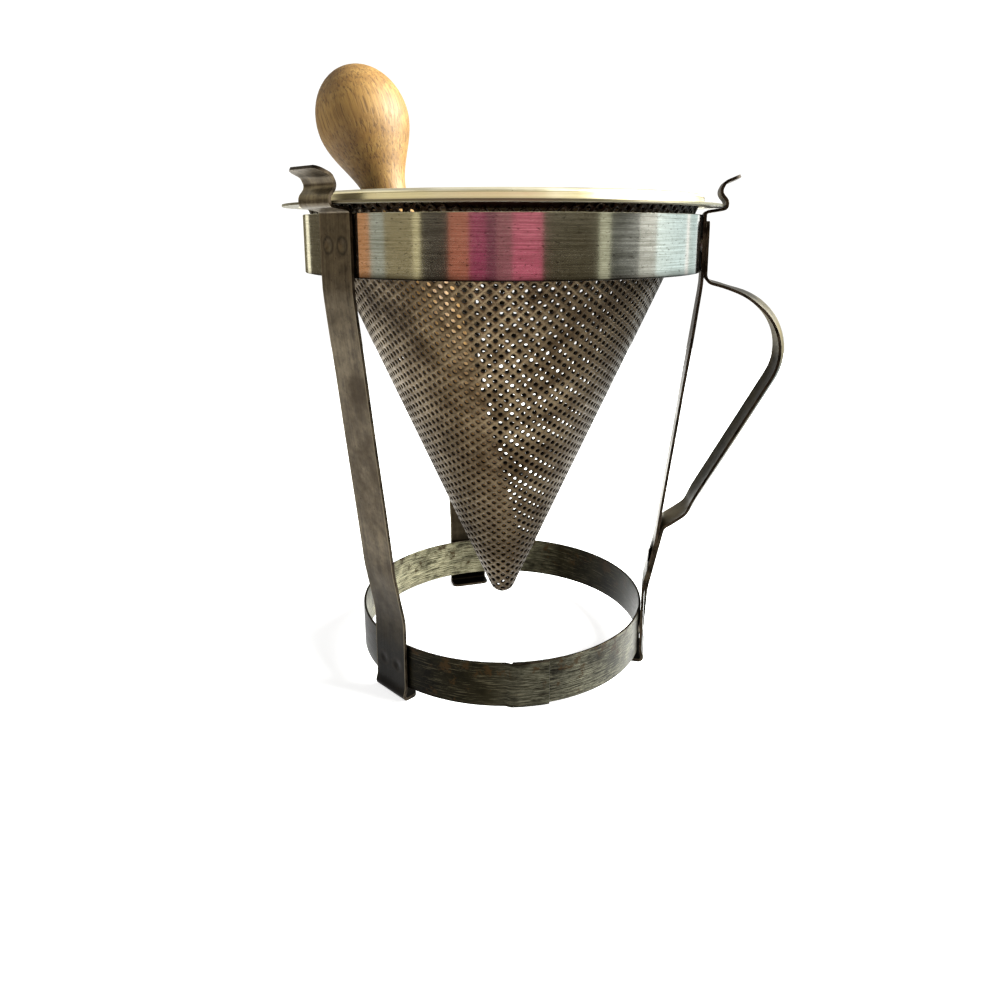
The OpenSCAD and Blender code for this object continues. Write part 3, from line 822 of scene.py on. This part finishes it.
def repeated(bm, count, step):
    """Copies all there is in a row: one by one up to an odd number, and then by doubling."""
    doublings = 0
    while count % 2 == 0:
        count //= 2
        doublings += 1
    single = bm.verts[:] + bm.edges[:] + bm.faces[:]
    for i in range(1, count):
        copy = bmesh.ops.duplicate(bm, geom=single)["geom"]
        moved = [part for part in copy if isinstance(part, bmesh.types.BMVert)]
        bmesh.ops.translate(bm, vec=step * i, verts=moved)
    for i in range(doublings):
        whole = bm.verts[:] + bm.edges[:] + bm.faces[:]
        copy = bmesh.ops.duplicate(bm, geom=whole)["geom"]
        moved = [part for part in copy if isinstance(part, bmesh.types.BMVert)]
        bmesh.ops.translate(bm, vec=step * count * 2**i, verts=moved)


def perforated_sheet(columns, rows):
    """Diamonds with a round hole, two to each column and row, centred on the flat sheet's origin."""
    bm = bmesh.new()
    for centre in (Vector((0, 0, 0)), Vector((diamond, diamond, 0))):
        at = Matrix.Translation(centre)
        rings = []
        for sides, radius in ((HOLE_SIDES, HOLE_RADIUS), (4, diamond)):
            made = bmesh.ops.create_circle(bm, segments=sides, radius=radius, matrix=at)["verts"]
            rings += {edge for vert in made for edge in vert.link_edges}
        bmesh.ops.bridge_loops(bm, edges=rings)
    repeated(bm, columns, Vector((2 * diamond, 0, 0)))
    repeated(bm, rows, Vector((0, 2 * diamond, 0)))
    bmesh.ops.remove_doubles(bm, verts=bm.verts, dist=0.01)
    return bm


# %% Cut the sector and roll it
sector_half = 180 * slope
lap_turn = SEAM_LAP * slope
columns = 2 * math.ceil(slant_top / diamond / 2 / 2) * 2
rows = 2 * math.ceil(slant_top * 1.02 / diamond / 2 / 2)
sheet_bm = perforated_sheet(columns, rows)
print(f"flat sheet: {columns} x {rows} x 2 holes, sector of {2 * sector_half:.1f} degrees")
bmesh.ops.translate(sheet_bm, vec=(-columns * diamond, -2 * rows * diamond + 8 * diamond, 0), verts=sheet_bm.verts)


def cut(bm, point, outward):
    whole = bm.verts[:] + bm.edges[:] + bm.faces[:]
    bmesh.ops.bisect_plane(bm, geom=whole, dist=0.001, plane_co=point, plane_no=outward, clear_outer=True)


def flat_bearing(degrees):
    """A direction in the flat sheet; 0 points down the middle of the sector."""
    return Vector((math.sin(math.radians(degrees)), -math.cos(math.radians(degrees)), 0))


far = [vert for vert in sheet_bm.verts if vert.co.length > slant_top + 4 or
       abs(math.degrees(math.atan2(vert.co.x, -vert.co.y))) > sector_half + lap_turn + 90]
bmesh.ops.delete(sheet_bm, geom=far, context="VERTS")
cut(sheet_bm, (0, 0, 0), flat_bearing(-sector_half - 90))
cut(sheet_bm, (0, 0, 0), flat_bearing(sector_half + lap_turn + 90))

ball_z = apex_z + TIP_RADIUS / slope
tip_join_z = ball_z - TIP_RADIUS * slope
JOG = 3.0
for vert in sheet_bm.verts:
    slant = vert.co.xy.length
    turned = math.degrees(math.atan2(vert.co.x, -vert.co.y)) / slope
    out = (SHEET + CLINCH_GAP) * ease((turned - 180 + JOG) / JOG)
    radius = slant * slope - SHEET / 2 * math.cos(CONE_HALF) + out * math.cos(CONE_HALF)
    height = apex_z + slant * math.cos(CONE_HALF) + (SHEET / 2 - out) * slope
    vert.co = polar(radius, SHEET_BEARING + turned, height)
cut(sheet_bm, (0, 0, cone_top_z - 0.2), (0, 0, 1))
cut(sheet_bm, (0, 0, tip_join_z), (0, 0, -1))
bmesh.ops.dissolve_degenerate(sheet_bm, edges=sheet_bm.edges, dist=0.01)
sheet_bm.faces.ensure_lookup_table()
first = sheet_bm.faces[0]
if first.normal.dot(Vector((first.calc_center_median().x, first.calc_center_median().y, 0))) < 0:
    bmesh.ops.reverse_faces(sheet_bm, faces=sheet_bm.faces)
print(f"rolled sheet: {len(sheet_bm.verts)} vertices, {len(sheet_bm.faces)} faces")

# %% [markdown]
# The tip is pressed round. A small disc of the same pattern is wrapped over a ball that meets the cone's wall,
# and both are cut at the same height. The long sheet is kept as two meshes, a front and a back half, because one
# would pass the size at which meshes get thinned.
# %% Cone finish and pieces


def cone_material(name, light, dark, speck):
    material, add, plug = new_material(name, metallic=0.9)
    solid = add("TexCoord", out=3)
    cloud = grain(add, solid, 34, 5, 0.6)
    patch = grain(add, solid, 120, 5, 0.65)
    fine = grain(add, solid, 900, 3, 0.6)
    stain = ranged(add, calc(add, "ADD", calc(add, "MULTIPLY", cloud, 0.6), calc(add, "MULTIPLY", patch, 0.4)),
                   0.40, 0.60)
    base = blend(add, stain, light, dark)
    base = blend(add, calc(add, "MULTIPLY", ranged(add, fine, 0.5, 0.75), 0.6), base, speck)
    height = add("SeparateXYZ", {0: solid}, out=2)
    # Painted shade: the sheet is painted dark from just under the band's top up to the rim.
    base = blend(add, calc(add, "MULTIPLY", ranged(add, height, 0.1955, 0.1990), 0.85), base, colour(44, 36, 27))
    base = blend(add, ranged(add, height, 0.13, 0.04, 0.0, 0.6), base, speck)
    # Painted shade: the sheet is painted darker towards its right side (+X), where the key lamp lights it.
    base = blend(add, ranged(add, add("SeparateXYZ", {0: solid}), 0.0, 0.05, 0.0, 0.7), base, speck)
    plug("Base Color", base)
    plug("Roughness", ranged(add, stain, 0.0, 1.0, 0.4, 0.66))
    bumped(add, plug, calc(add, "ADD", calc(add, "MULTIPLY", fine, 0.4), calc(add, "MULTIPLY", patch, 0.6)), 0.4,
           0.00015)
    return material


tip_cells = 8
tip_bm = perforated_sheet(tip_cells, tip_cells)
bmesh.ops.translate(tip_bm, vec=(-tip_cells * diamond, -tip_cells * diamond, 0), verts=tip_bm.verts)
wrap = TIP_RADIUS - SHEET / 2
for vert in tip_bm.verts:
    turn = min(vert.co.xy.length / wrap, 2.4)
    side = vert.co.xy.normalized() if vert.co.xy.length > 1e-6 else Vector((0, 0))
    vert.co = Vector((side.x * math.sin(turn) * wrap, side.y * math.sin(turn) * wrap, ball_z - math.cos(turn) * wrap))
cut(tip_bm, (0, 0, tip_join_z), (0, 0, 1))
bmesh.ops.dissolve_degenerate(tip_bm, edges=tip_bm.edges, dist=0.01)
tip_bm.faces.ensure_lookup_table()
if min(tip_bm.faces, key=lambda face: face.calc_center_median().z).normal.z > 0:
    bmesh.ops.reverse_faces(tip_bm, faces=tip_bm.faces)

sieve_finish = cone_material("sieve_aluminium", colour(118, 103, 80), colour(68, 55, 37), colour(34, 26, 17))
# Painted shade: the cone's inner face is the same sheet painted near black, a shaded copy of its outer finish.
cone_inner_shade = cone_material("sieve_inside_painted_shade", colour(36, 30, 21), colour(22, 17, 11), colour(14, 11, 7))
toward_camera = polar(1, CAMERA_BEARING)
for name, side in (("sieve_front", 1), ("sieve_back", -1)):
    half_bm = sheet_bm.copy()
    gone = [face for face in half_bm.faces if face.calc_center_median().dot(toward_camera) * side <= 0]
    bmesh.ops.delete(half_bm, geom=gone, context="FACES")
    new_piece(half_bm, name, "cone", ["cone_sieve"], sieve_finish, SHEET, 0, inside=cone_inner_shade)
new_piece(tip_bm, "sieve_tip", "cone", ["cone_sieve"], sieve_finish, SHEET, 0, inside=cone_inner_shade)
sheet_bm.free()

# %% [markdown]
# ## Pestle
# One piece of beech turned on a lathe: a round end, a body that tapers so that its side lies flat along the
# cone's wall, a slim neck at the rim and an egg-shaped knob. A spin of its outline is the same operation as the
# turning. It then leans until its side nearly touches the wall.
# %% Pestle outline
END_RADIUS = 9.9
BODY_TAPER = math.radians(3.3)
BODY_LENGTH = 144.0
NECK_RADIUS = 9.3
NECK_LENGTH = 30.0
KNOB_RADIUS = 21.3
KNOB_LENGTH = 64.2

knob_up = KNOB_LENGTH * 0.4
knob_down = KNOB_LENGTH - knob_up
neck_s = BODY_LENGTH + NECK_LENGTH
thick_end = (END_RADIUS + BODY_LENGTH * math.sin(BODY_TAPER)) / math.cos(BODY_TAPER)


def eased(start, end, low, high, steps):
    """Outline points from one radius to another over a stretch of the length, level at both ends."""
    return [(start + (end - start) * ease(i / steps), low + (high - low) * i / steps) for i in range(steps + 1)]


outline = [(0.0, -END_RADIUS)]
for step in range(1, 16):
    a = -math.pi / 2 + (math.pi / 2 - BODY_TAPER) * step / 15
    outline.append((END_RADIUS * math.cos(a), END_RADIUS * math.sin(a)))
straight_from = outline[-1]
for step in range(1, 30):
    outline.append((straight_from[0] + (thick_end - straight_from[0]) * step / 30,
                    straight_from[1] + (BODY_LENGTH - straight_from[1]) * step / 30))
outline += eased(thick_end, NECK_RADIUS, BODY_LENGTH, neck_s, 14)
outline += eased(NECK_RADIUS, KNOB_RADIUS, neck_s, neck_s + knob_down, 20)[1:]
for step in range(1, 16):
    a = math.pi / 2 * (1 - step / 15)
    outline.append((KNOB_RADIUS * math.sin(a), neck_s + knob_down + knob_up * math.cos(a)))
outline[-1] = (0.0, neck_s + KNOB_LENGTH)
print(f"the pestle is {neck_s + KNOB_LENGTH + END_RADIUS:.0f} mm long")

# %% Where the pestle leans
LEAN = CONE_HALF - BODY_TAPER
LEAN_BEARING = 162.0
axis_z = apex_z + (SHEET + END_RADIUS + RUN_GAP) / slope
lean_turn = Matrix.Rotation(math.radians(LEAN_BEARING), 3, "Z") @ Matrix.Rotation(LEAN, 3, "Y")
pestle_foot = Vector((0, 0, axis_z))
print(f"the pestle's axis meets the cone's at {axis_z:.2f} mm")


# %% Wood finish
def wood_material():
    material, add, plug = new_material("pestle_wood", ior=1.45)
    solid = add("TexCoord", out=3)
    upright = lean_turn.transposed().to_euler()
    foot = -(lean_turn.transposed() @ (pestle_foot * MM))
    wood = add("Mapping", {"Vector": solid, "Rotation": upright, "Location": foot})
    rings = add("TexWave", {"Vector": stretched(add, wood, (1, 1, 0.07)), "Scale": 60, "Distortion": 3.0,
                            "Detail": 3, "Detail Scale": 1.2}, wave_type="RINGS", rings_direction="Z")
    fibre = grain(add, stretched(add, wood, (1, 1, 0.03)), 850, 5, 0.6)
    flecks = ranged(add, grain(add, stretched(add, wood, (1, 1, 0.022)), 1250, 3, 0.6), 0.53, 0.62)
    cloud = grain(add, wood, 38, 4, 0.55)
    base = blend(add, ranged(add, rings, 0.2, 0.9), colour(152, 118, 64), colour(138, 104, 54))
    base = blend(add, ranged(add, fibre, 0.35, 0.7), base, colour(114, 82, 40))
    base = blend(add, calc(add, "MULTIPLY", flecks, 0.7), base, colour(70, 47, 22))
    base = blend(add, calc(add, "MULTIPLY", ranged(add, cloud, 0.45, 0.7), 0.3), base, colour(100, 71, 38))
    height = add("SeparateXYZ", {0: wood}, out=2)
    # Painted shade and stain: the pestle is painted darker below the rim, where the cone shades it and use has
    # browned it.
    shade_stain_height = calc(add, "ADD", height, calc(add, "MULTIPLY", cloud, 0.03))
    cone_shade_and_stain = calc(add, "MULTIPLY", ranged(add, shade_stain_height, 0.196, 0.150), 0.2)
    base = blend(add, cone_shade_and_stain, base, colour(96, 68, 38))
    plug("Base Color", base)
    plug("Roughness", ranged(add, fibre, 0.3, 0.7, 0.5, 0.66))
    height_map = calc(add, "SUBTRACT", calc(add, "MULTIPLY", fibre, 0.8), calc(add, "MULTIPLY", flecks, 0.4))
    bumped(add, plug, height_map, 0.3, 0.0002)
    return material


# %% Pestle
pestle_bm = spun_sheet([Vector(point) for point in outline], 72)
bmesh.ops.remove_doubles(pestle_bm, verts=pestle_bm.verts, dist=0.005)
bmesh.ops.recalc_face_normals(pestle_bm, faces=pestle_bm.faces)
bmesh.ops.rotate(pestle_bm, matrix=lean_turn, verts=pestle_bm.verts)
bmesh.ops.translate(pestle_bm, vec=pestle_foot, verts=pestle_bm.verts)
new_piece(pestle_bm, "pestle_beech", "pestle", ["pestle"], wood_material(), 0, 0)

# %% [markdown]
# ## Spot welds
# The welds themselves are thin plugs of metal between two straps. Their solids are right as they are, and only
# get a finish: dull, with a blue-grey heat tint.
# %% Weld finish
weld_finish, add, plug = new_material("weld_metal", metallic=1.0)
weld_solid = add("TexCoord", out=3)
weld_cloud = grain(add, weld_solid, 420, 4, 0.6)
plug("Base Color", blend(add, ranged(add, weld_cloud, 0.35, 0.65), colour(92, 90, 88), colour(150, 142, 128)))
plug("Roughness", ranged(add, weld_cloud, 0.3, 0.7, 0.4, 0.6))
bumped(add, plug, weld_cloud, 0.3, 0.0001)
for node in ("welds_ring", "welds_band", "welds_handle", "welds_laps"):
    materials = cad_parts[node].data.materials
    materials.clear()
    materials.append(weld_finish)

bpy.context.view_layer.update()
